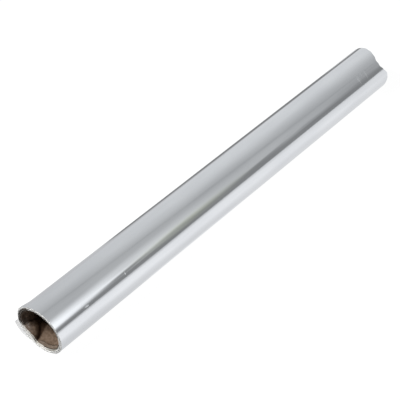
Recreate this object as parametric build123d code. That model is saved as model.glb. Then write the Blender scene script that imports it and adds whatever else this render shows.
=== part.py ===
from build123d import *
import math
import os

# A roll of clear film on a card tube, in millimetres. It lies along X on a small flat spot, with its open,
# dented end at -X. Angles round the roll are in degrees from the top towards +Y.

# The wound film
film_width = 500.0
film_build = 2.95  # the thickness of all the turns together
flat_width = 6.0  # where its weight has pressed the soft turns flat
edge_angle = 93.0  # the free edge of the last turn, behind the roll
edge_height = 0.4  # how far the loose last turns stand up at that edge

# Its ends: groups of turns stand proud or set back, by up to turn_relief, in an uneven rhythm
turn_groups = 5
turn_relief = 0.3
turn_rhythm = 2.4  # radians from one group to the next
wind_skew = 3.8  # the dented end leans out of square
wind_skew_angle = 60.0
lip_reach = 4.0  # the last turn's corner, which sticks out past the end
lip_span = 57.0
setback_depth = 8.0  # the other end's film stands back in a shallow curve
setback_half_angle = 50.0
setback_angle = -42.0

# The card tube
core_bore = 40.0
core_wall = 2.0
wind_gap = 0.05  # between the card and the first turn
core_inset = 1.3  # the card lies a little inside the film at the dented end
core_skew = 7.0
core_skew_angle = 70.0
core_far_inset = 12.0

# The dent in the card's mouth: deepest at the mouth, gone at dent_length
dent_depth = 5.3
dent_length = 30.0
dent_angle = 130.0
dent_roundness = 20.0
mouth_spread = 0.3  # how far the rest of the pushed-in mouth has spread, against the film

core_radius = core_bore / 2 + core_wall
film_bore_radius = core_radius + wind_gap
roll_radius = film_bore_radius + film_build
roll_diameter = 2 * roll_radius
near_end = -film_width / 2
far_end = film_width / 2
overrun = roll_radius  # each piece is made this much too long, and then cut to its end


def outward(angle):
    """The unit vector from the roll's axis at this angle."""
    turn = math.radians(angle)
    return Vector(0, math.sin(turn), math.cos(turn))


def beyond_end(levels, first_radius):
    """The space past an end at x = 0, towards +X. Its face has one level for each group of turns."""
    depth = 2 * overrun
    outside = roll_diameter
    group = (roll_radius - first_radius) / len(levels)
    steps = []
    for i, level in enumerate(levels):
        steps += [(level, first_radius + i * group), (level, first_radius + (i + 1) * group)]
    outline = Polyline(
        (depth, 0),
        (levels[0], 0),
        *steps,
        (levels[-1], outside),
        (depth, outside),
        close=True,
    )
    return revolve(make_face(outline), Axis.X)


def at_near_end(space, skew, skew_angle, inset):
    """Turns a space to the dented end, leaning so that the roll stands proud at skew_angle."""
    turned = space.rotate(Axis.Z, 180)
    tilted = turned.rotate(Axis((0, 0, 0), tuple(outward(skew_angle + 90))), -skew)
    return Pos(near_end + inset, 0, 0) * tilted


def spiral_arcs():
    """The last turn, from its free edge round to where that edge lies on the turn below.

    It is four arcs as (centre, radius, start angle), each closing in by a quarter of the edge's height."""
    shrink = edge_height / 4
    centre = (outward(edge_angle) - outward(edge_angle + 90)) * (shrink / 2)
    radius = roll_radius - shrink / 2
    arcs = []
    for quarter in range(4):
        start = edge_angle + 90 * quarter
        arcs.append((centre, radius, start))
        centre = centre + outward(start + 90) * shrink
        radius -= shrink
    return arcs


def arc(centre, radius, start, span):
    """An arc in the roll's section."""
    points = [centre + outward(start + share * span) * radius for share in (0, 0.5, 1)]
    return ThreePointArc(*points)


def wound_section():
    """The roll's section: one turn of the spiral, closed by the free edge."""
    arcs = [arc(*turn, 90) for turn in spiral_arcs()]
    free_edge = Line(arcs[-1] @ 1, arcs[0] @ 0)
    return make_face(Wire(arcs + [free_edge]))


def loose_lip():
    """The last turn's corner, which sticks out past the dented end and dies away round the roll."""
    centre, radius, start = spiral_arcs()[0]
    outer = arc(centre, radius, start, lip_span)
    inner = arc(centre, radius - edge_height, start, lip_span)
    section = make_face(Wire([outer, Line(outer @ 1, inner @ 1), inner, Line(inner @ 0, outer @ 0)]))
    root = 2 * lip_reach
    band = Pos(near_end + root, 0, 0) * extrude(section, 4 * lip_reach, dir=(-1, 0, 0))
    lean = outward(wind_skew_angle) * math.tan(math.radians(wind_skew))
    tip = (outer @ 0) + Vector(near_end - (outer @ 0).dot(lean) - lip_reach, 0, 0)
    root_end = (outer @ 1) + Vector(near_end - (outer @ 1).dot(lean), 0, 0)
    along = root_end - tip
    away = along.cross(outward(start + lip_span / 2))
    if away.X > 0:
        away = away * -1
    trim = Plane(origin=tip, x_dir=along, z_dir=away) * Box(
        8 * roll_radius, 8 * roll_radius, 4 * lip_reach, align=(Align.CENTER, Align.CENTER, Align.MIN)
    )
    return band - trim


def far_setback():
    """A round notch that takes the film's far end back on its upper front only."""
    half_width = roll_radius * math.sin(math.radians(setback_half_angle))
    radius = (half_width**2 + setback_depth**2) / (2 * setback_depth)
    place = Plane(
        origin=(far_end - setback_depth + radius, 0, 0), x_dir=(1, 0, 0), z_dir=outward(setback_angle)
    )
    bottom = (Align.CENTER, Align.CENTER, Align.MIN)
    return place * Cylinder(radius, 2 * roll_radius, align=bottom)


def film_roll():
    """All the turns of film as one solid, round the card's bore."""
    body = extrude(wound_section(), film_width / 2 + overrun, both=True)
    levels = [turn_relief * (1 + math.cos(turn_rhythm * i)) / 2 for i in range(turn_groups)]
    past_end = beyond_end(levels, film_bore_radius)
    body -= at_near_end(past_end, wind_skew, wind_skew_angle, 0)
    body -= Pos(far_end, 0, 0) * past_end
    body -= far_setback()
    body += loose_lip()
    body -= Rot(0, 90, 0) * Cylinder(film_bore_radius, 2 * film_width)
    flat_drop = math.sqrt(roll_radius**2 - (flat_width / 2) ** 2)
    below = (Align.CENTER, Align.CENTER, Align.MAX)
    body -= Pos(0, 0, -flat_drop) * Box(2 * film_width, 2 * roll_diameter, roll_diameter, align=below)
    return body


def dent_scoop(radius):
    """A cylinder that leans out of the card's wall from the mouth inwards."""
    lean = math.atan2(dent_depth, dent_length)
    reach = core_radius - dent_depth + dent_roundness / math.cos(lean)
    mouth = Vector(near_end, 0, 0) + outward(dent_angle) * reach
    slope = Vector(dent_length, 0, 0) + outward(dent_angle) * dent_depth
    return Plane(origin=mouth, z_dir=slope) * Cylinder(radius, 6 * dent_length)


def cardboard_core():
    """The card tube, pushed in at its mouth. Past the dented stretch its bore is round."""
    along_x = Rot(0, 90, 0)
    wall = along_x * Cylinder(core_radius, film_width + 2 * overrun)
    wall -= dent_scoop(dent_roundness)
    bore = along_x * Cylinder(core_bore / 2, film_width + 2 * overrun)
    spread_length = dent_length + core_wall
    length = spread_length + overrun
    mouth_radius = core_bore / 2 + mouth_spread * length / spread_length
    ends_at_top = (Align.CENTER, Align.CENTER, Align.MAX)
    spread = Cone(mouth_radius, core_bore / 2, length, align=ends_at_top)
    bore += Pos(near_end + spread_length, 0, 0) * along_x * spread
    bore -= dent_scoop(dent_roundness + core_wall)
    tube = wall - bore
    start = (Align.MIN, Align.CENTER, Align.CENTER)
    past_end = Box(2 * overrun + core_far_inset, 2 * roll_diameter, 2 * roll_diameter, align=start)
    tube -= at_near_end(past_end, core_skew, core_skew_angle, core_inset)
    tube -= Pos(far_end - core_far_inset, 0, 0) * past_end
    return tube


parts = {"film_roll": film_roll(), "cardboard_core": cardboard_core()}
low = Vector(*(min(tuple(p.bounding_box().min)[i] for p in parts.values()) for i in range(3)))
high = Vector(*(max(tuple(p.bounding_box().max)[i] for p in parts.values()) for i in range(3)))
middle = (low + high) * 0.5
to_origin = Pos(-middle.X, -middle.Y, -low.Z)

os.makedirs("parts", exist_ok=True)
for name, part in parts.items():
    placed = to_origin * part
    export_step(placed, f"parts/{name}.step")
    print(name, placed.bounding_box(), round(placed.volume))
print("roll's axis", -middle.Y, -low.Z, "nominal ends", near_end - middle.X, far_end - middle.X)
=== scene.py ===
import math

import bmesh
import bpy
import numpy as np
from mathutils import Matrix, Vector


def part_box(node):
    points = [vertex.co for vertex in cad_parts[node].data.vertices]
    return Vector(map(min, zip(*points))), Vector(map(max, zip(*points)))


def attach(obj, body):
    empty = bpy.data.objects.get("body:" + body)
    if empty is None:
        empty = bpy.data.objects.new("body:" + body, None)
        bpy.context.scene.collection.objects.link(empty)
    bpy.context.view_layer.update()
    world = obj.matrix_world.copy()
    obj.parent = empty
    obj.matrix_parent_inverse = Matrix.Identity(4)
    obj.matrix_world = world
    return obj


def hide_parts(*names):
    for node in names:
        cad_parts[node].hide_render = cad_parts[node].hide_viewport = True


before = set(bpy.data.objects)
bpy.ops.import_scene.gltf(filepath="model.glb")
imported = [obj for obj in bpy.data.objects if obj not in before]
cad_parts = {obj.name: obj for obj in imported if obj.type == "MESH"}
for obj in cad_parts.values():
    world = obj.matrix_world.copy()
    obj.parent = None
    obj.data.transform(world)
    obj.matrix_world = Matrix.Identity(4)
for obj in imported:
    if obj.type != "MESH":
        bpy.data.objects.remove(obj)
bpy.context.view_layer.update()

# The wound film: a few hundred tight turns of thin clear film that together look like polished silver. It
# was wound from a wide sheet onto the card, and a small flat shows where its weight rests. Angles round
# the roll are in degrees from the top towards +Y, as the free edge's is.
FILM_WIDTH = 0.500
FILM_BUILD = 0.00295
EDGE_ANGLE = 93.0
EDGE_HEIGHT = 0.0004
EDGE_TIGHTNESS = 8  # how suddenly the last turn closes in before its free edge
WIND_SKEW = 3.8
WIND_SKEW_ANGLE = 60.0
TURN_GROUPS = 5
TURN_RELIEF = 0.0003
TURN_RHYTHM = 2.4
TURN_STEPS = 4  # each group's finer steps, of which every other one stands back by a share of the relief
TURN_STEP_BACK = 0.12
FLAP_START = 109.0
FLAP_END = 160.5
FLAP_DEPTH = 0.0036
FLAP_LENGTH = 0.0175
FLAP_CURVE = 2.4  # how late the fold turns in towards the crease
FLAP_FADE = 1.2  # how soon the flap's depth dies away inwards
FLAP_PEAK = 2.12  # brings the flap's profile to a height of 1
FLAP_NARROWEST = 0.02
SETBACK_DEPTH = 0.0084
SETBACK_ANGLE = -45.0
SETBACK_ABOVE = (40.0, 2.2)  # its spread in degrees above that angle, and how square its sides are
SETBACK_BELOW = (22.0, 2.7)
SETBACK_WAVES = ((0.0003, 21), (-0.0005, 9))  # its uneven edge: heights, and waves in a full turn
SETBACK_WORN = 45.0  # how far round that unevenness reaches
WIND_GAP = 0.00005  # between the card and the first turn

card_low, card_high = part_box("cardboard_core")
film_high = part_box("film_roll")[1]
AXIS_Y = (card_low.y + card_high.y) / 2
AXIS_Z = (card_low.z + card_high.z) / 2
CARD_RADIUS = (card_high.z - card_low.z) / 2
FILM_BORE = CARD_RADIUS + WIND_GAP
ROLL_RADIUS = FILM_BORE + FILM_BUILD
FAR_END = film_high.x - TURN_RELIEF
NEAR_END = FAR_END - FILM_WIDTH


def at_angle(x, radius, angle):
    """Points on a circle round the roll's axis, as an array whose last side is x, y, z."""
    turn = np.radians(angle)
    y = AXIS_Y + radius * np.sin(turn)
    z = AXIS_Z + radius * np.cos(turn)
    return np.stack(np.broadcast_arrays(x, y, z), axis=-1)


def hump(value, centre, spread):
    """A bell-shaped rise of height 1."""
    return np.exp(-(((value - centre) / spread) ** 2))


def waves(angle, sizes):
    """A sum of waves round the roll, from pairs of a height and a number of waves in a full turn."""
    return sum(height * np.sin(np.radians(count * angle)) for height, count in sizes)


def turned(angle, centre):
    """The angle from a centre, between -180 and 180 degrees."""
    return (np.asarray(angle) - centre + 180) % 360 - 180


def near_face(radius, angle, level):
    """How far along X the film ends at its leaning, open end."""
    lean = math.tan(math.radians(WIND_SKEW)) * radius * np.cos(np.radians(angle - WIND_SKEW_ANGLE))
    return NEAR_END - lean - level


def far_face(radius, angle, level):
    """How far along X the film ends at the other end, where it stands back in a shallow, uneven curve."""
    away = turned(angle, SETBACK_ANGLE)
    spread = np.where(away > 0, SETBACK_ABOVE[0], SETBACK_BELOW[0])
    power = np.where(away > 0, SETBACK_ABOVE[1], SETBACK_BELOW[1])
    notch = SETBACK_DEPTH * np.exp(-np.abs(away / spread) ** power)
    wear = waves(away, SETBACK_WAVES) * hump(away, 0, SETBACK_WORN)
    return FAR_END - notch + wear + level


def dent(x, angle):
    """How far the wall, and the turns next to it, are pushed in between a crease and a slanting fold."""
    inward = np.clip((x - NEAR_END) / FLAP_LENGTH, 0, 1)
    width = (FLAP_END - FLAP_START) * np.maximum(1 - inward**FLAP_CURVE, FLAP_NARROWEST)
    share = np.clip(turned(angle, FLAP_START) / width, 0, 1)
    return FLAP_DEPTH * (1 - inward) ** FLAP_FADE * FLAP_PEAK * share * (1 - share**3)


# The long ripples that the winding tension leaves: angle, drift in degrees per metre, half-width in
# degrees, height in metres, and where each is highest and how long it is, as shares of the film's width.
RIPPLES = [
    (57.0, 0.0, 20.0, 0.0011, 0.0, 0.012),
    (-46.5, 0.0, 5.0, 0.00018, 0.172, 0.055),
    (-51.0, 0.0, 5.0, -0.00008, 0.310, 0.060),
    (-47.5, 0.0, 5.0, 0.00012, 0.560, 0.060),
    (-50.0, 20.0, 4.0, -0.00007, 0.665, 0.030),
    (-48.5, 0.0, 5.0, 0.00010, 0.775, 0.060),
    (-51.0, 0.0, 5.0, -0.00006, 0.920, 0.050),
    (-55.0, 14.0, 0.9, 0.000040, 0.200, 0.060),
    (-49.5, -20.0, 0.9, -0.000036, 0.420, 0.070),
    (-52.5, 20.0, 1.0, 0.000036, 0.600, 0.080),
    (-45.0, -16.0, 1.0, 0.000032, 0.800, 0.090),
    (-22.0, -30.0, 7.0, 0.00003, 0.450, 0.400),
    (15.0, 10.0, 12.0, 0.00003, 0.600, 0.400),
    (-95.0, 8.0, 10.0, 0.000035, 0.300, 0.300),
    (-85.0, -6.0, 9.0, -0.00003, 0.750, 0.250),
    (70.0, 12.0, 9.0, 0.00004, 0.400, 0.300),
    (140.0, -9.0, 12.0, 0.00004, 0.650, 0.350),
    (180.0, 7.0, 10.0, 0.00004, 0.350, 0.300),
    (225.0, -6.0, 9.0, -0.00004, 0.600, 0.300),
]
FINE_RIPPLES = 46
FINE_RIPPLE_HEIGHT = 0.000026
chance = np.random.default_rng(4)
for _ in range(FINE_RIPPLES):
    centre = chance.uniform(-180, 180)
    drift = chance.uniform(-25, 25)
    spread = chance.uniform(1.2, 3.0)
    rise = chance.uniform(-1, 1) * FINE_RIPPLE_HEIGHT
    middle = chance.uniform(0, 1)
    length = chance.uniform(0.06, 0.25)
    RIPPLES.append((centre, drift, spread, rise, middle, length))


def ripple_height(x, angle):
    """The ripples' height at a place on the film."""
    share = (x - NEAR_END) / FILM_WIDTH
    height = 0.0
    for centre, drift, spread, rise, middle, length in RIPPLES:
        away = turned(angle, centre + drift * (x - NEAR_END))
        height = height + rise * hump(away, 0, spread) * hump(share, middle, length)
    return height


def film_radius(x, angle):
    """The last turn's radius, closing in by EDGE_HEIGHT from the free edge round to where it lies down."""
    round_from_edge = (angle - EDGE_ANGLE) / 360
    return ROLL_RADIUS - EDGE_HEIGHT * round_from_edge**EDGE_TIGHTNESS + ripple_height(x, angle)


SAME_POINT = 1e-7
SHARP_ANGLE = 32.0


def closed_skin(name, points, finishes):
    """A closed mesh from rows of points that join up both ways, with outward faces.

    Each row's faces, up to the next row, take the material whose number is in finishes."""
    rows, columns = points.shape[:2]
    corner = np.arange(rows * columns).reshape(rows, columns)
    beside = np.roll(corner, -1, axis=1)
    faces = np.stack([corner, beside, np.roll(beside, -1, axis=0), np.roll(corner, -1, axis=0)], axis=-1)
    mesh = bpy.data.meshes.new(name)
    mesh.from_pydata(points.reshape(-1, 3).tolist(), [], faces.reshape(-1, 4).tolist())
    mesh.polygons.foreach_set("material_index", np.repeat(finishes, columns))
    work = bmesh.new()
    work.from_mesh(mesh)
    bmesh.ops.remove_doubles(work, verts=work.verts, dist=SAME_POINT)
    bmesh.ops.dissolve_degenerate(work, dist=SAME_POINT, edges=work.edges)
    bmesh.ops.recalc_face_normals(work, faces=work.faces)
    work.to_mesh(mesh)
    work.free()
    mesh.shade_smooth()
    mesh.set_sharp_from_angle(angle=math.radians(SHARP_ANGLE))
    piece = bpy.data.objects.new(name, mesh)
    bpy.context.scene.collection.objects.link(piece)
    return piece


def end_levels():
    """The film's end, from the bore outwards, as pairs of a share of the build and how proud it stands."""
    levels = []
    count = TURN_GROUPS * TURN_STEPS
    for i in range(count):
        proud = TURN_RELIEF * (1 + math.cos(TURN_RHYTHM * (i // TURN_STEPS))) / 2
        proud -= TURN_RELIEF * TURN_STEP_BACK * (i % 2)
        levels.append((i / count, proud))
        levels.append(((i + 1) / count, proud))
    return levels


RIPPLED = (285.0, 330.0)  # the stretch with the finest ripples
FILM_COLUMNS = (96, 90, 62)  # points round the roll before that stretch, in it and after it
FILM_ROWS = 235
BORE_ROWS = 14
SHINE, EDGES, FIRST_TURNS = range(3)
film_angle = np.concatenate([
    np.linspace(EDGE_ANGLE, RIPPLED[0], FILM_COLUMNS[0], endpoint=False),
    np.linspace(*RIPPLED, FILM_COLUMNS[1], endpoint=False),
    np.linspace(RIPPLED[1], EDGE_ANGLE + 360, FILM_COLUMNS[2]),
])
film_rows = []
film_finishes = []
pressed_bore = FILM_BORE - dent(NEAR_END, film_angle)
for share, level in end_levels():
    radius = pressed_bore + share * (film_radius(NEAR_END, film_angle) - pressed_bore)
    film_rows.append(at_angle(near_face(radius, film_angle, level), radius, film_angle))
    film_finishes.append(EDGES)
film_finishes[-1] = SHINE
start = near_face(ROLL_RADIUS, film_angle, 0)
end = far_face(ROLL_RADIUS, film_angle, 0)
for share in np.linspace(0, 1, FILM_ROWS)[1:-1]:
    x = start + share * (end - start)
    film_rows.append(at_angle(x, film_radius(x, film_angle), film_angle))
    film_finishes.append(SHINE)
for share, level in reversed(end_levels()):
    radius = FILM_BORE + share * (film_radius(FAR_END, film_angle) - FILM_BORE)
    film_rows.append(at_angle(far_face(radius, film_angle, level), radius, film_angle))
    film_finishes.append(EDGES)
for share in np.linspace(1, 0, BORE_ROWS)[:-1]:
    x = NEAR_END + share * FLAP_LENGTH
    film_rows.append(at_angle(x, FILM_BORE - dent(x, film_angle), film_angle))
    film_finishes.append(FIRST_TURNS)
film_points = np.stack(film_rows)
film_points[..., 2] = np.maximum(film_points[..., 2], 0.0)
film = closed_skin("wound_film", film_points, film_finishes)


class Wire:
    """An output in a node tree. Its operators add Math nodes to that tree."""

    def __init__(self, tree, socket=None):
        self.tree = tree
        self.socket = socket

    def node(self, kind, settings=None, inputs=None, output=0):
        """Adds a node: its settings are set first, and then the values or links of its sockets."""
        made = self.tree.nodes.new(kind)
        for key, value in (settings or {}).items():
            setattr(made, key, value)
        for key, value in (inputs or {}).items():
            if isinstance(value, Wire):
                self.tree.links.new(value.socket, made.inputs[key])
            else:
                made.inputs[key].default_value = value
        return Wire(self.tree, made.outputs[output])

    def math(self, operation, *others):
        """A Math node that starts with this value."""
        return self.node("ShaderNodeMath", {"operation": operation}, dict(enumerate((self, *others))))

    def __add__(self, other):
        return self.math("ADD", other)

    __radd__ = __add__

    def __mul__(self, other):
        return self.math("MULTIPLY", other)

    __rmul__ = __mul__

    def __sub__(self, other):
        return self.math("SUBTRACT", other)

    def __rsub__(self, other):
        return self * -1.0 + other

    def __truediv__(self, other):
        return self.math("DIVIDE", other)

    def rise(self, low, high):
        """0 below low, 1 above high, and smooth between."""
        sockets = {"Value": self, "From Min": low, "From Max": high}
        return self.node("ShaderNodeMapRange", {"interpolation_type": "SMOOTHSTEP"}, sockets)

    def fall(self, low, high):
        """1 below low, 0 above high, and smooth between."""
        return 1.0 - self.rise(low, high)

    def bell(self, centre, spread):
        """A bell-shaped rise of height 1 round a value."""
        away = (self - centre) / spread
        return (away * away * -1.0).math("EXPONENT")

    def tint(self, low, high):
        """A colour between two, by this value."""
        sockets = {"Factor": self}
        for key, shade in ((6, low), (7, high)):
            sockets[key] = shade if isinstance(shade, Wire) else (*shade, 1.0)
        return self.node("ShaderNodeMix", {"data_type": "RGBA"}, sockets, output=2)

    def bumps(self, strength, distance):
        """Small bumps on a surface, as high as this value."""
        sockets = {"Strength": strength, "Distance": distance, "Height": self}
        return self.node("ShaderNodeBump", None, sockets)


def new_material(name):
    """A material with an empty tree, and the place on the object, to build it from."""
    made = bpy.data.materials.new(name)
    made.use_nodes = True
    made.node_tree.nodes.clear()
    return made, Wire(made.node_tree).node("ShaderNodeTexCoord", output="Object")


def finish_tree(kind, result):
    """Joins a result to its tree's output node, and ends the tree."""
    output = result.tree.nodes.new(kind)
    result.tree.links.new(result.socket, output.inputs[0])


def finish_material(made, **sockets):
    """Gives a material its shader, with each socket's value or link by the socket's name."""
    values = {key.replace("_", " "): value for key, value in sockets.items()}
    surface = Wire(made.node_tree).node("ShaderNodeBsdfPrincipled", None, values)
    finish_tree("ShaderNodeOutputMaterial", surface)


def parts_of(vector):
    """The x, y and z of a vector."""
    split = vector.node("ShaderNodeSeparateXYZ", None, {0: vector})
    return [Wire(split.tree, output) for output in split.socket.node.outputs]


def round_roll(place):
    """The distance from the roll's axis, and the angle round it in degrees, of a place on the object."""
    x, y, z = parts_of(place)
    across = y - AXIS_Y
    up = z - AXIS_Z
    radius = (across * across + up * up).math("SQRT")
    return radius, across.math("ARCTAN2", up) * math.degrees(1)


def drawn_noise(place, scale, detail=2.0):
    """Noise drawn out along an axis: scale is per metre along X, Y and Z."""
    drawn = place.node("ShaderNodeMapping", None, {"Vector": place, "Scale": scale})
    return place.node("ShaderNodeTexNoise", None, {"Vector": drawn, "Scale": 1.0, "Detail": detail})


# Small creases in the last turn: distance along the film in metres, half-width along it, angle, half-width
# round it in degrees, and how dull the film is there.
CREASES = (
    (0.0375, 0.0022, -56.5, 1.5, 0.45),
    (0.0865, 0.0006, -53.5, 2.6, 0.50),
    (0.4535, 0.0014, -42.0, 14.0, 0.28),
    (0.4605, 0.0010, -33.0, 8.0, 0.20),
    (0.4665, 0.0010, -44.0, 12.0, 0.22),
)
SILVER = ((0.788, 0.80, 0.822), (0.828, 0.84, 0.859))

film_shine, place = new_material("wound_film_shine")
x = parts_of(place)[0]
angle = round_roll(place)[1]
streaks = drawn_noise(place, (8.0, 650.0, 650.0), 3.0)
cloud = drawn_noise(place, (12.0, 60.0, 60.0))
scuffs = drawn_noise(place, (140.0, 900.0, 900.0), 4.0)
crease = 0.0
for distance, reach, centre, spread, dullness in CREASES:
    crease = crease + x.bell(NEAR_END + distance, reach) * angle.bell(centre, spread) * dullness
silver = cloud.rise(0.35, 0.65).tint(*SILVER)
roughness = 0.07 + streaks * 0.05 + scuffs.rise(0.55, 0.8) * 0.05 + crease
normal = streaks.bumps(0.25, 0.00008)
finish_material(film_shine, Base_Color=silver, Metallic=1.0, Roughness=roughness, Normal=normal)

CLEAR_EDGE = ((0.70, 0.695, 0.675), (0.85, 0.845, 0.835))
PAINTED_TOP_SHADE_COLOUR = (0.52, 0.52, 0.51)
PAINTED_INNER_SHADOW_COLOUR = (0.04, 0.032, 0.026)
CARD_THROUGH_AND_SHADE_COLOUR = (0.085, 0.074, 0.063)
RING_RATE = 9000.0  # radians for each metre outwards

film_edges, place = new_material("film_edges")
radius, angle = round_roll(place)
rings = (radius * RING_RATE).math("SINE")
patches = drawn_noise(place, (90.0, 90.0, 90.0), 3.0)
mottled = patches.rise(0.3, 0.7) * 0.6 + rings * 0.15 + 0.2
# Painted shade: the rim is greyer at its top, and its first turns are painted near-black where they lie in
# the tube's shadow
painted_top_shade = angle.rise(-80.0, -40.0) * angle.fall(50.0, 105.0)
painted_inner_shadow = angle.rise(-85.0, -62.0) * radius.fall(0.0221, 0.0237) * angle.fall(15.0, 32.0)
# Before the dent the card shows brown through the film's clear edge, and the inner part of the rim there
# is darkened as painted shade
card_through_and_shade = angle.rise(18.0, 34.0) * angle.fall(92.0, 106.0) * radius.fall(0.0236, 0.0249)
# Painted shade on the rim's top, and painted shadow on its first turns
edge_colour = (painted_top_shade * 0.7).tint(mottled.tint(*CLEAR_EDGE), PAINTED_TOP_SHADE_COLOUR)
edge_colour = (painted_inner_shadow * 0.95).tint(edge_colour, PAINTED_INNER_SHADOW_COLOUR)
# Brown card seen through the film, darkened as painted shade
edge_colour = card_through_and_shade.tint(edge_colour, CARD_THROUGH_AND_SHADE_COLOUR)
normal = rings.bumps(0.4, 0.0001)
finish_material(film_edges, Base_Color=edge_colour, Roughness=0.45, Specular_IOR_Level=0.2, Normal=normal)

FIRST_TURN = ((0.47, 0.455, 0.415), (0.69, 0.67, 0.63))
SHADED_TURN = (0.23, 0.215, 0.185)

first_turns, place = new_material("first_turns")
patches = drawn_noise(place, (200.0, 300.0, 300.0), 3.0)
angle = round_roll(place)[1]
# Painted shade: the first turns are darker low on the -Y side
below = (angle + 142.0).math("ABSOLUTE").fall(15.0, 35.0)
turn_colour_and_shade = (below * 0.7).tint(patches.tint(*FIRST_TURN), SHADED_TURN)
finish_material(first_turns, Base_Color=turn_colour_and_shade, Roughness=0.5, Specular_IOR_Level=0.2)

for finish in (film_shine, film_edges, first_turns):
    film.data.materials.append(finish)
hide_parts("film_roll")
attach(film, "root")

# Single turns that have slipped a hair's breadth out of the film's two ends, as rings of thin film. Each
# ring is the end's own outline, drawn in towards the axis.
RING_TURNS = 17
RING_SHARES = (0.893, 0.990)
RING_THICKNESS = 0.00006
RING_SLIP = 0.00032
RING_POINTS = 180
RING_SIDES = 6
RING_SEED = 3


def new_growth(name, sizes):
    """An empty Geometry Nodes tree, as a Wire to build it from, and its named inputs."""
    tree = bpy.data.node_groups.new(name, "GeometryNodeTree")
    for label, kind in sizes.items():
        tree.interface.new_socket(label, in_out="INPUT", socket_type="NodeSocket" + kind)
    tree.interface.new_socket("Result", in_out="OUTPUT", socket_type="NodeSocketGeometry")
    entry = tree.nodes.new("NodeGroupInput")
    return Wire(tree), [Wire(tree, entry.outputs[label]) for label in sizes]


def finish_growth(shape, material):
    """Ends a tree with real geometry in one material."""
    real = shape.node("GeometryNodeRealizeInstances", None, {"Geometry": shape})
    painted = shape.node("GeometryNodeSetMaterial", None, {"Geometry": real, "Material": material})
    finish_tree("NodeGroupOutput", painted)


def grown(name, mesh, tree, sizes):
    """The plain mesh that a tree makes from a starting mesh and its sizes."""
    piece = bpy.data.objects.new(name, mesh)
    bpy.context.scene.collection.objects.link(piece)
    growth = piece.modifiers.new(name, "NODES")
    growth.node_group = tree
    for item in tree.interface.items_tree:
        if item.name in sizes:
            growth[item.identifier] = sizes[item.name]
    evaluated = piece.evaluated_get(bpy.context.evaluated_depsgraph_get())
    result = bpy.data.meshes.new_from_object(evaluated)
    piece.modifiers.remove(growth)
    piece.data = result
    result.name = name
    result.shade_smooth()
    return piece


ring_base, ring_inputs = new_growth("slipped_turns", {
    "Outline": "Geometry",
    "Turns": "Int",
    "First share": "Float",
    "Last share": "Float",
    "Slip": "Float",
    "Lean": "Float",
    "Thickness": "Float",
    "Centre": "Vector",
    "Seed": "Int",
})
outline, turns, first, last, slip, lean, thickness, centre, seed = ring_inputs
loop = ring_base.node("GeometryNodeMeshToCurve", None, {"Mesh": outline})
spots = ring_base.node("GeometryNodeMeshLine", None, {"Count": turns, "Offset": (0.0, 0.0, 0.0)})
index = ring_base.node("GeometryNodeInputIndex")
share = first + (last - first) * index / (turns - 1.0)
size = ring_base.node("ShaderNodeCombineXYZ", None, {0: 1.0 + lean * (share - 1.0), 1: share, 2: share})
slipped = ring_base.node("FunctionNodeRandomValue", None, {2: 0.0, 3: slip, "Seed": seed}, output=1)
placed = {"Points": spots, "Instance": loop, "Scale": size}
rings = ring_base.node("GeometryNodeInstanceOnPoints", None, placed)
step = ring_base.node("ShaderNodeCombineXYZ", None, {0: slipped})
rings = ring_base.node("GeometryNodeTranslateInstances", None, {"Instances": rings, "Translation": step})
rings = ring_base.node("GeometryNodeRealizeInstances", None, {"Geometry": rings})
circle = {"Resolution": RING_SIDES, "Radius": thickness / 2.0}
section = ring_base.node("GeometryNodeCurvePrimitiveCircle", None, circle)
rings = ring_base.node("GeometryNodeCurveToMesh", None, {"Curve": rings, "Profile Curve": section})
rings = ring_base.node("GeometryNodeTransform", None, {"Geometry": rings, "Translation": centre})
finish_growth(rings, film_edges)


def outline_mesh(name, points):
    """A closed loop of edges through points."""
    mesh = bpy.data.meshes.new(name)
    count = len(points)
    mesh.from_pydata(points.tolist(), [(i, (i + 1) % count) for i in range(count)], [])
    return mesh


ring_angle = np.linspace(-180, 180, RING_POINTS, endpoint=False)
for name, end, face, lean, slip in (
    ("open_end_turns", NEAR_END, near_face, 1.0, -RING_SLIP),
    ("far_end_turns", FAR_END, far_face, 0.0, RING_SLIP),
):
    centre = np.array([end, AXIS_Y, AXIS_Z])
    rim = at_angle(face(ROLL_RADIUS, ring_angle, 0), ROLL_RADIUS, ring_angle)
    rings = grown(name, outline_mesh(name, rim - centre), ring_base.tree, {
        "Turns": RING_TURNS,
        "First share": RING_SHARES[0],
        "Last share": RING_SHARES[1],
        "Slip": slip,
        "Lean": lean,
        "Thickness": RING_THICKNESS,
        "Centre": centre,
        "Seed": RING_SEED,
    })
    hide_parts("film_roll")
    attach(rings, "root")

# The last turn's loose corner. It has slipped out past the open end, a few layers thick, and dies away
# round the roll. Held against the light it is clear, with only a grey cast.
LIP_REACH = 0.0040
LIP_SPAN = 57.0
LIP_FADE = 0.75  # how its reach dies away over that span
LIP_THICKNESS = 0.00012
LIP_HELD = 0.003
LIP_WAVE = 0.00012
LIP_WAVE_RATE = 0.16  # radians for each degree
LIP_ROWS = 14
LIP_COLUMNS = 60
LIP_CAST = (0.56, 0.57, 0.58, 1.0)

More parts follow.
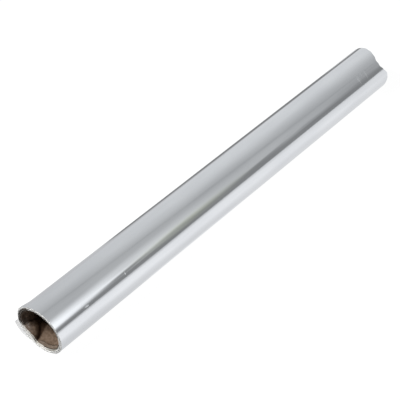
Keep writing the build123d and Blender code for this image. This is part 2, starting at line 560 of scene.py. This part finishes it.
lip_angle = EDGE_ANGLE + np.linspace(0, LIP_SPAN, LIP_COLUMNS)
reach = LIP_REACH * (1 - (lip_angle - EDGE_ANGLE) / LIP_SPAN) ** LIP_FADE
root = near_face(ROLL_RADIUS, lip_angle, 0) + LIP_HELD
lip_rows = []
for share in np.linspace(0, 1, LIP_ROWS):
    x = root - share * (LIP_HELD + reach)
    wave = LIP_WAVE * share**2 * np.sin(lip_angle * LIP_WAVE_RATE)
    lip_rows.append(at_angle(x, film_radius(x, lip_angle) - 0.5 * LIP_THICKNESS + wave, lip_angle))
lip_points = np.concatenate(lip_rows)
index = np.arange(LIP_ROWS * LIP_COLUMNS).reshape(LIP_ROWS, LIP_COLUMNS)
lip_faces = np.stack([index[:-1, :-1], index[:-1, 1:], index[1:, 1:], index[1:, :-1]], axis=-1)
lip_mesh = bpy.data.meshes.new("loose_corner")
lip_mesh.from_pydata(lip_points.tolist(), [], lip_faces.reshape(-1, 4).tolist())
lip_mesh.shade_smooth()
lip = bpy.data.objects.new("loose_corner", lip_mesh)
bpy.context.scene.collection.objects.link(lip)
thicken = lip.modifiers.new("thickness", "SOLIDIFY")
thicken.thickness = LIP_THICKNESS
thicken.offset = 0.0

clear_film, place = new_material("loose_film")
veins = drawn_noise(place, (90.0, 160.0, 160.0))
showing = 0.21 + 0.04 * veins.rise(0.3, 0.7)
finish_material(clear_film, Base_Color=LIP_CAST, Roughness=0.3, Specular_IOR_Level=0.25, Alpha=showing)
lip.data.materials.append(clear_film)
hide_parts("film_roll")
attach(lip, "root")

# The card tube that the film is wound on: plies of brown card, glued in a spiral and cut off square. Its
# mouth has been pushed in on one side. A flap of the wall is folded inwards there, between a crease and a
# slanting fold, and the innermost ply has torn back from the edge.
CARD_WALL = 0.002
CARD_CLEARANCE = 0.00002  # between the wall's outside and the tube's nominal radius
CARD_INSET = 0.0013
CARD_SKEW = 7.0
CARD_SKEW_ANGLE = 70.0
CARD_FAR_INSET = 0.012
MOUTH_SPREAD = 0.0003
FRAY = ((0.00012, 23), (0.0001, 61))
PLY = 0.0005
PLY_BACK = 0.00005  # how far inside the mouth the innermost ply starts where it isn't torn
TORN_ANGLE = 194.0
TORN_SPREAD = 34.0
TORN_SQUARENESS = 6
TORN_BACK = 0.0034
TORN_WAVES = ((0.0003, 11),)
TORN_CORNER = (0.0018, 22.0)  # how much farther it is torn at one corner, and over how many degrees


def card_face(radius, angle):
    """How far along X the card starts at its leaning mouth."""
    lean = math.tan(math.radians(CARD_SKEW)) * radius * np.cos(np.radians(angle - CARD_SKEW_ANGLE))
    return NEAR_END + CARD_INSET - lean


def torn_back(angle):
    """How far inside the mouth the innermost ply now starts."""
    away = turned(angle, TORN_ANGLE)
    stretch = np.exp(-np.abs(away / TORN_SPREAD) ** TORN_SQUARENESS)
    uneven = waves(away, TORN_WAVES) + TORN_CORNER[0] * np.clip(away / TORN_CORNER[1], 0, 1) ** 2
    return PLY_BACK + (TORN_BACK + uneven) * stretch


CARD_COLUMNS = 260
MOUTH_STRETCH = 0.07  # the share of the tube's length that has closer rows
MOUTH_ROWS = 46
CARD_ROWS = 70
BARED_ROWS = 8
KRAFT, CUT, BARED, TORN = range(4)
card_angle = np.linspace(0, 360, CARD_COLUMNS, endpoint=False)
card_end = FAR_END - CARD_FAR_INSET
inner = CARD_RADIUS - CARD_WALL
shares = np.concatenate([
    np.linspace(0, MOUTH_STRETCH, MOUTH_ROWS)[:-1],
    np.linspace(MOUTH_STRETCH, 1, CARD_ROWS),
])
card_rows = []
card_finishes = []
start = card_face(CARD_RADIUS, card_angle)
for share in shares:
    x = start + share * (card_end - start)
    card_rows.append(at_angle(x, CARD_RADIUS - CARD_CLEARANCE - dent(x, card_angle), card_angle))
    card_finishes.append(KRAFT)
card_finishes[-1] = CUT
mouth_line = card_face(inner, card_angle) + waves(card_angle, FRAY)
ply_line = mouth_line + torn_back(card_angle)
for share in shares[::-1]:
    x = ply_line + share * (card_end - ply_line)
    spread = MOUTH_SPREAD * np.clip(1 - (x - NEAR_END) / FLAP_LENGTH, 0, 1)
    card_rows.append(at_angle(x, inner + spread - dent(x, card_angle), card_angle))
    card_finishes.append(KRAFT)
# The step where the innermost ply tore back is painted near-black, as painted shadow under the ply's edge
card_finishes[-1] = TORN
for share in np.linspace(1, 0, BARED_ROWS):
    x = mouth_line + share * (ply_line - mouth_line)
    card_rows.append(at_angle(x, inner + MOUTH_SPREAD + PLY - dent(x, card_angle), card_angle))
    card_finishes.append(BARED)
card_finishes[-1] = CUT
card = closed_skin("card_tube", np.stack(card_rows), card_finishes)

SCRAPED = (0.50, 0.44, 0.40)
PAINTED_FOLD_SHADOW = (0.028, 0.014, 0.007)


def card_finish(name, dark, light):
    """Matt card with blotches and fibres, between two browns, with pale scraped flecks and a painted
    shadow past the flap's fold.
    """
    made, place = new_material(name)
    fibres = drawn_noise(place, (420.0, 420.0, 420.0), 6.0)
    blotches = drawn_noise(place, (75.0, 75.0, 75.0), 3.0)
    kraft = (fibres.rise(0.3, 0.72) * 0.5 + blotches.rise(0.3, 0.7) * 0.5).tint(dark, light)
    x = parts_of(place)[0]
    angle = round_roll(place)[1]
    # The surface is scraped pale in flecks along the crease, just inside the pushed-in mouth
    flecks = drawn_noise(place, (520.0, 520.0, 520.0), 3.0).rise(0.49, 0.62)
    inside_mouth = x.fall(NEAR_END + 0.0015, NEAR_END + 0.0065)
    scraped = (0.25 + 0.6 * flecks) * angle.bell(FLAP_START, 17.0) * inside_mouth
    kraft = scraped.tint(kraft, SCRAPED)
    # Painted shadow: the flap's shadow past its fold is painted dark on the wall, in a wedge that opens
    # into the tube
    inward = ((x - NEAR_END) / FLAP_LENGTH).math("MAXIMUM", 0.0)
    fold = FLAP_END - (FLAP_END - FLAP_START) * inward.math("POWER", FLAP_CURVE)
    past_fold = angle - fold
    wedge = (past_fold / (3.0 + 50.0 * inward)).rise(-1.5, -0.3)
    wedge = wedge * (past_fold - 36.0 * inward.math("POWER", 3.0)).fall(-3.0, 4.0)
    # Painted shadow of the flap, fading deeper in the tube
    painted_fold_shadow = wedge * inward.fall(1.3, 1.8)
    kraft = (painted_fold_shadow * 0.85).tint(kraft, PAINTED_FOLD_SHADOW)
    normal = fibres.bumps(0.35, 0.0003)
    finish_material(made, Base_Color=kraft, Roughness=0.85, Specular_IOR_Level=0.08, Normal=normal)
    return made


# The cut card's brown, darkened as painted shade, and a lighter brown as painted light
SHADED_CUT_BROWN = ((0.035, 0.026, 0.021), (0.08, 0.062, 0.050))
PAINTED_CUT_LIGHT = (0.17, 0.152, 0.125)
FURRED = ((0.48, 0.46, 0.42), (0.76, 0.74, 0.70))


def cut_card_finish():
    """The card's cut end: pale and furred where it was pushed in, and brown elsewhere, with painted shade
    and painted light.
    """
    made, place = new_material("cut_card")
    angle = round_roll(place)[1]
    fibres = drawn_noise(place, (900.0, 900.0, 900.0), 4.0)
    # Painted shade: the pale end is darker in a notch by the crease
    pale = angle.rise(96.0, 116.0) * (1.0 - 0.6 * angle.bell(154.0, 7.0))
    # Painted light: the brown end is lighter low on the -Y side
    brown = (angle.bell(-122.0, 20.0) * 0.8).tint(fibres.tint(*SHADED_CUT_BROWN), PAINTED_CUT_LIGHT)
    colour = pale.tint(brown, fibres.tint(*FURRED))
    normal = fibres.bumps(0.4, 0.0002)
    finish_material(made, Base_Color=colour, Roughness=0.9, Specular_IOR_Level=0.08, Normal=normal)
    return made


brown_card = card_finish("brown_card", (0.062, 0.040, 0.026), (0.215, 0.154, 0.112))
bared_ply = card_finish("bared_ply", (0.125, 0.092, 0.068), (0.22, 0.175, 0.138))
# Painted shadow: a near-black finish for the step under the torn ply
painted_ply_shadow = card_finish("painted_ply_shadow", (0.020, 0.013, 0.009), (0.050, 0.036, 0.027))
for finish in (brown_card, cut_card_finish(), bared_ply, painted_ply_shadow):
    card.data.materials.append(finish)
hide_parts("cardboard_core")
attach(card, "root")

# The seam of the innermost ply. The ply is a strip wound in a spiral, and each turn overlaps the last a
# little, so a low ridge of card runs round and round inside the tube. It starts past the dented stretch.
SEAM_START = 0.032
SEAM_PITCH = 0.092
SEAM_WIDTH = 0.0011
SEAM_RISE = 0.00022
SEAM_END = 0.001  # how far inside the tube's other end it stops
SEAM_POINTS = 90  # in each turn

seam_base, seam_inputs = new_growth("ply_seam", {
    "Radius": "Float",
    "Length": "Float",
    "Turns": "Float",
    "Width": "Float",
    "Rise": "Float",
    "Start": "Vector",
})
radius, length, turns, width, rise, start = seam_inputs
helix = seam_base.node("GeometryNodeCurveSpiral", None, {
    "Resolution": SEAM_POINTS,
    "Rotations": turns,
    "Start Radius": radius,
    "End Radius": radius,
    "Height": length,
})
helix = seam_base.node("GeometryNodeSetCurveNormal", {"mode": "Z_UP"}, {"Curve": helix})
section = seam_base.node("GeometryNodeCurvePrimitiveQuadrilateral", None, {"Width": rise, "Height": width})
swept = {"Curve": helix, "Profile Curve": section, "Fill Caps": True}
ridge = seam_base.node("GeometryNodeCurveToMesh", None, swept)
laid = {"Geometry": ridge, "Translation": start, "Rotation": (0.0, math.pi / 2, 0.0)}
ridge = seam_base.node("GeometryNodeTransform", None, laid)
finish_growth(ridge, brown_card)

seam_length = card_end - SEAM_END - (NEAR_END + SEAM_START)
seam = grown("ply_seam", bpy.data.meshes.new("ply_seam"), seam_base.tree, {
    "Radius": inner,
    "Length": seam_length,
    "Turns": seam_length / SEAM_PITCH,
    "Width": SEAM_WIDTH,
    "Rise": SEAM_RISE,
    "Start": (NEAR_END + SEAM_START, AXIS_Y, AXIS_Z),
})
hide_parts("cardboard_core")
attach(seam, "root")

# The studio: a white table that runs to the horizon, a soft key light above and behind the open end, and a
# weaker one from the other side. The film mirrors the room beyond the table as well.
KEY_PLACE = Vector((-0.90, 0.28, 1.02))
KEY_WATTS = 21.5
FILL_PLACE = Vector((1.3, -0.9, 1.3))
FILL_WATTS = 14.0
LAMP_SIDE = 0.4
for name, spot, watts in (("soft_key", KEY_PLACE, KEY_WATTS), ("soft_fill", FILL_PLACE, FILL_WATTS)):
    light = bpy.data.lights.new(name, "AREA")
    light.shape = "RECTANGLE"
    light.size = LAMP_SIDE
    light.size_y = LAMP_SIDE
    light.energy = watts
    lamp = bpy.data.objects.new(name, light)
    bpy.context.scene.collection.objects.link(lamp)
    lamp.location = spot
    lamp.rotation_euler = (spot * -1).to_track_quat("-Z", "Y").to_euler()
    lamp.visible_glossy = False
    lamp.visible_camera = False

# The table is white. What the film mirrors of it has a painted shadow under the roll, is a little darker
# again towards the horizon, and has one painted brighter stretch close beside the roll.
TABLE_WIDTH = 12.0
TABLE_GLOW = 0.96
TABLE_CAST = (0.975, 0.985, 1.0, 1.0)


def ray(base, kind):
    """1 where the ray that meets a shader is a Camera, Glossy or Transmission ray, and 0 elsewhere."""
    return base.node("ShaderNodeLightPath", output=f"Is {kind} Ray")


bpy.ops.mesh.primitive_plane_add(size=TABLE_WIDTH)
floor = bpy.context.object
floor.name = "white_table"
table_white, place = new_material("white_table")
x, y, _ = parts_of(place)
distance = y.math("ABSOLUTE")
shaded = place.node("ShaderNodeBsdfDiffuse", None, {"Color": (0.22, 0.22, 0.22, 1.0)})
faint = place.node("ShaderNodeBsdfDiffuse", None, {"Color": (0.10, 0.10, 0.10, 1.0)})
glow = place.node("ShaderNodeEmission", None, {"Color": (1.0, 1.0, 1.0, 1.0), "Strength": TABLE_GLOW})
seen = place.node("ShaderNodeAddShader", None, {0: faint, 1: glow})
# Painted shadow: what the film mirrors is darker close under the roll
level = 0.72 + 0.24 * distance.rise(0.020, 0.085) - 0.26 * distance.rise(0.15, 2.0)
level = level + (0.06 - 0.14 * distance.rise(0.04, 0.09)) * x.rise(-0.2, 0.1)
level = level + 0.05 * distance.rise(0.04, 0.07)
level = level - 0.07 * x.rise(0.15, 0.32) * distance.rise(0.03, 0.08)
# Painted light: a brighter stretch close beside the roll
level = level + 0.14 * x.rise(-0.15, -0.11) * x.fall(-0.03, 0.06) * distance.fall(0.018, 0.027)
mirror_painted_shade_and_light = place.node("ShaderNodeEmission", None, {"Color": TABLE_CAST, "Strength": level})
by_mirror = place.node("ShaderNodeMixShader", None, {0: ray(place, "Glossy"), 1: shaded, 2: mirror_painted_shade_and_light})
by_eye = ray(place, "Camera").math("MAXIMUM", ray(place, "Transmission"))
surface = place.node("ShaderNodeMixShader", None, {0: by_eye, 1: by_mirror, 2: seen})
finish_tree("ShaderNodeOutputMaterial", surface)
floor.data.materials.append(table_white)

# Behind the roll the film mirrors a grey stretch of table with a dark strip on it. The strip widens along
# the roll.
BEHIND_START = 0.045
BEHIND_DEPTH = 6.0
BEHIND_HEIGHT = 0.0005
STRIP_START = (-0.155, -0.118)
bpy.ops.mesh.primitive_plane_add(size=1.0)
behind = bpy.context.object
behind.name = "table_behind"
for vertex in behind.data.vertices:
    vertex.co.x *= TABLE_WIDTH
    vertex.co.y = BEHIND_START + (vertex.co.y + 0.5) * BEHIND_DEPTH
    vertex.co.z = BEHIND_HEIGHT
behind.visible_camera = False
behind.visible_diffuse = False
behind.visible_shadow = False
behind.visible_transmission = False
behind_grey, place = new_material("table_behind")
x, y, _ = parts_of(place)
strip_end = 0.188 + 0.47 * x
strip_near = y - 0.045 * x.rise(0.265, 0.305) + 0.012 * x.fall(-0.07, -0.03)
strip = (x - 0.5 * y).rise(*STRIP_START) * strip_near.rise(0.062, 0.092) * (y / strip_end).fall(0.7, 1.4)
level = 0.62 + 0.20 * x.rise(-0.24, -0.12) * y.fall(0.05, 0.085) - 0.38 * strip
grey = place.node("ShaderNodeEmission", None, {"Color": TABLE_CAST, "Strength": level})
finish_tree("ShaderNodeOutputMaterial", grey)
behind.data.materials.append(behind_grey)

# The room that the film mirrors, by a direction's tilt, which is its angle round X from straight up to +Y,
# and by its x. Pairs are for the roll's open end and its other end. It is pale above, with a faint line
# where its wall starts, a bright window low down at -Y, and dark below that to the table's white far edge.
X_NEAR = 0.417
X_FAR = 0.72
FADE = 2.66  # how soon the open end's values give way to the other end's
PALE = (0.513, 0.505)
PALER = (0.10, 0.27)
PALER_TILT = ((1.7, -25.0), (62.0, 50.0))
WALL_LINE = (11.6, -151.0)  # its tilt at X_NEAR, and how that changes with x
WINDOW = 0.84
WINDOW_TILT = ((24.0, 16.2), (58.0, 53.2))
DARK = 0.265
DARK_TILT = ((64.6, 44.0), (77.7, 75.0))
TABLE_EDGE = (0.40, 0.62)
TABLE_EDGE_TILT = ((85.4, 85.4), (90.0, 88.8))
AMBIENT = 0.05
AIR = ((0.965, 0.985, 1.0), (0.955, 1.0, 0.87))
world = bpy.data.worlds.new("studio")
bpy.context.scene.world = world
world.use_nodes = True
world.node_tree.nodes.clear()
direction = Wire(world.node_tree).node("ShaderNodeTexCoord", output="Generated")
x, y, z = parts_of(direction)
tilt = y.math("ARCTAN2", z) * math.degrees(1)
low = tilt * -1.0
nearness = ((X_FAR - x) / (X_FAR - X_NEAR)).math("MAXIMUM", 0.0).math("MINIMUM", 1.0).math("POWER", FADE)


def along(ends):
    """A value that changes from the roll's open end to its other end."""
    near, far = ends
    return far + (near - far) * nearness


def rise_along(value, bounds):
    """A smooth rise of a value between two bounds that change along the roll."""
    return value.rise(*(along(ends) for ends in bounds))


room = along(PALE) + along(PALER) * rise_along(tilt, PALER_TILT)
past_wall = tilt - (WALL_LINE[0] + WALL_LINE[1] * (x - X_NEAR))
room = room - 0.034 * past_wall.bell(0.0, 13.0) - 0.10 * past_wall.bell(0.0, 1.6)
room = room - 0.085 * x.rise(0.665, 0.695) * low.bell(47.0, 9.0)
window = WINDOW * nearness * rise_along(low, WINDOW_TILT)
shade = rise_along(low, DARK_TILT)
table_edge = along(TABLE_EDGE) * rise_along(low, TABLE_EDGE_TILT)
strength = (room + window) * (1.0 - shade) + DARK * shade + table_edge
seen_ray = ray(direction, "Camera")
mirror_ray = ray(direction, "Glossy")
lit = AMBIENT * (1.0 - mirror_ray) + strength * mirror_ray
lit = lit * (1.0 - seen_ray) + seen_ray
green_cast = x.bell(0.556, 0.036) * low.bell(62.0, 13.0) * mirror_ray
sky = direction.node("ShaderNodeBackground", None, {"Color": green_cast.tint(*AIR), "Strength": lit})
finish_tree("ShaderNodeOutputWorld", sky)

# The camera looks down along the roll from its open end. The centre of that end is seen at MOUTH_PIXEL.
PICTURE = 400
FOCAL_PIXELS = 1154.3
MOUTH_PIXEL = (39.48, 330.68)
MOUTH_DEPTH = 0.9816
CAMERA_HEADING = 50.04
CAMERA_DROP = 41.84
SENSOR = 36.0

heading, drop = math.radians(CAMERA_HEADING), math.radians(CAMERA_DROP)
ahead = Vector((math.sin(heading) * math.cos(drop), math.cos(heading) * math.cos(drop), -math.sin(drop)))
right = Vector((math.cos(heading), -math.sin(heading), 0.0))
above = right.cross(ahead)
mouth = Vector((NEAR_END, AXIS_Y, AXIS_Z))
across = (MOUTH_PIXEL[0] - PICTURE / 2) / FOCAL_PIXELS * MOUTH_DEPTH
down = (MOUTH_PIXEL[1] - PICTURE / 2) / FOCAL_PIXELS * MOUTH_DEPTH
view_data = bpy.data.cameras.new("camera")
view_data.sensor_width = SENSOR
view_data.lens = FOCAL_PIXELS / PICTURE * SENSOR
camera = bpy.data.objects.new("camera", view_data)
bpy.context.scene.collection.objects.link(camera)
camera.location = mouth - ahead * MOUTH_DEPTH - right * across + above * down
camera.rotation_euler = ahead.to_track_quat("-Z", "Y").to_euler()
bpy.context.scene.camera = camera
bpy.context.scene.view_settings.view_transform = "Standard"
